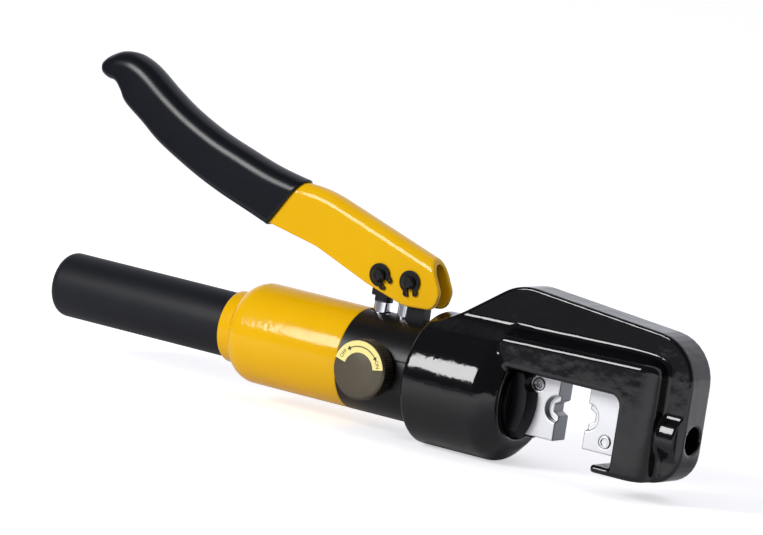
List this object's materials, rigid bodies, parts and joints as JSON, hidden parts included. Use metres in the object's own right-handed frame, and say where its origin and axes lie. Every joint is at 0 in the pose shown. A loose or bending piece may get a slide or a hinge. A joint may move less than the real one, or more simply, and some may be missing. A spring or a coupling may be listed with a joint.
{
  "type": "hydraulic crimping tool",
  "caption": "Hand-pumped hydraulic crimping tool: C-shaped head with a ram and hexagon dies, oil reservoir in the fixed handle, swing-up pump lever and release knob.",
  "frame": {"origin": "centre of the bore's mouth in the head's end face, on the ram axis", "axes": "+X along the ram axis, out of the head's end face; +Z towards the pump lever; +Y away from the release knob"},
  "size_m": [0.323, 0.0589, 0.1349],
  "materials": {
    "head_enamel": "thick gloss black enamel over a casting",
    "yellow_paint": "gloss yellow enamel with a slight orange peel",
    "pump_black": "satin black",
    "grip_rubber": "smooth satin black sleeve",
    "seal_rubber": "black nitrile",
    "black_oxide": "black oxide",
    "fulcrum_steel": "bright stem and black oxide lug",
    "plunger_chrome": "bright rod with a black oxide head",
    "machined_steel": "machined",
    "spring_steel": "drawn wire",
    "bearing_steel": "polished",
    "brass": "machined",
    "ram_steel": "ground, dark",
    "die_steel": "ground and plated, bright",
    "button_steel": "turned",
    "knob_alloy": "dark anodised, knurled rim",
    "dial_print": "printed film"
  },
  "bodies": {
    "frame": {"crimp_head": "head_enamel", "head_seal": "seal_rubber", "ram_wiper": "seal_rubber", "head_lock_screw": "black_oxide", "pump_body": "pump_black", "plunger_gland": "machined_steel", "plunger_seal": "seal_rubber", "fulcrum_lug": "fulcrum_steel", "spring_bolt": "machined_steel", "return_spring": "spring_steel", "suction_plug": "brass", "delivery_plug": "brass", "delivery_spring": "spring_steel", "relief_screw": "black_oxide", "relief_spring": "spring_steel", "valve_gland": "machined_steel", "valve_seal": "seal_rubber", "reservoir_seal": "seal_rubber", "reservoir_housing": "yellow_paint", "oil_bladder": "seal_rubber", "bladder_clip": "machined_steel", "filler_plug": "brass", "handle_tube": "machined_steel", "lower_grip": "grip_rubber", "fixed_die": "die_steel", "fixed_button_spring": "spring_steel"},
    "lever": {"lever_channel": "yellow_paint", "lever_grip": "grip_rubber", "plunger_pin": "black_oxide", "fulcrum_pin": "black_oxide", "pin_circlips": "black_oxide"},
    "plunger": {"pump_plunger": "plunger_chrome"},
    "ram": {"ram": "ram_steel", "ram_seal": "seal_rubber", "spring_retainer": "machined_steel", "moving_die": "die_steel", "moving_button_spring": "spring_steel"},
    "release": {"release_knob": "knob_alloy", "release_dial": "dial_print", "valve_spindle": "machined_steel", "knob_screw": "black_oxide"},
    "moving_button": {"moving_die_button": "button_steel"},
    "fixed_button": {"fixed_die_button": "button_steel"},
    "suction_valve": {"suction_ball": "bearing_steel"},
    "delivery_valve": {"delivery_ball": "bearing_steel"},
    "relief_valve": {"relief_ball": "bearing_steel"}
  },
  "joints": [
    {"name": "lever_pivot", "type": "hinge", "parent": "frame", "child": "lever", "pos_m": [-0.1448, 0, 0.0378], "axis": [0, 1, 0], "range_deg": [-18, 25]},
    {"name": "plunger_slide", "type": "slide", "parent": "frame", "child": "plunger", "axis": [0, 0, 1], "range_m": [-0.0049, 0.0068]},
    {"name": "ram_slide", "type": "slide", "parent": "frame", "child": "ram", "axis": [1, 0, 0], "range_m": [0, 0.0143], "stiffness_N_per_m": 2000, "springref_m": -0.01, "deforming": ["return_spring"]},
    {"name": "release_turn", "type": "hinge", "parent": "frame", "child": "release", "pos_m": [-0.149, -0.03, 0], "axis": [0, -1, 0], "range_deg": [0, 90]},
    {"name": "moving_button_press", "type": "slide", "parent": "ram", "child": "moving_button", "axis": [0, 1, 0], "range_m": [0, 0.0008], "stiffness_N_per_m": 800, "springref_m": -0.001, "deforming": ["moving_button_spring"]},
    {"name": "fixed_button_press", "type": "slide", "parent": "frame", "child": "fixed_button", "axis": [0, 1, 0], "range_m": [0, 0.0008], "stiffness_N_per_m": 800, "springref_m": -0.001, "deforming": ["fixed_button_spring"]},
    {"name": "suction_lift", "type": "slide", "parent": "frame", "child": "suction_valve", "axis": [1, 0, 0], "range_m": [0, 0.0008]},
    {"name": "delivery_lift", "type": "slide", "parent": "frame", "child": "delivery_valve", "axis": [1, 0, 0], "range_m": [0, 0.0008], "stiffness_N_per_m": 200, "springref_m": -0.002, "deforming": ["delivery_spring"]},
    {"name": "relief_lift", "type": "slide", "parent": "frame", "child": "relief_valve", "axis": [0, 1, 0], "range_m": [0, 0.0005], "stiffness_N_per_m": 2000, "springref_m": -0.001, "deforming": ["relief_spring"]}
  ],
  "couplings": [
    {"joint": "plunger_slide", "follows": "lever_pivot", "m_per_rad": 0.0151}
  ]
}
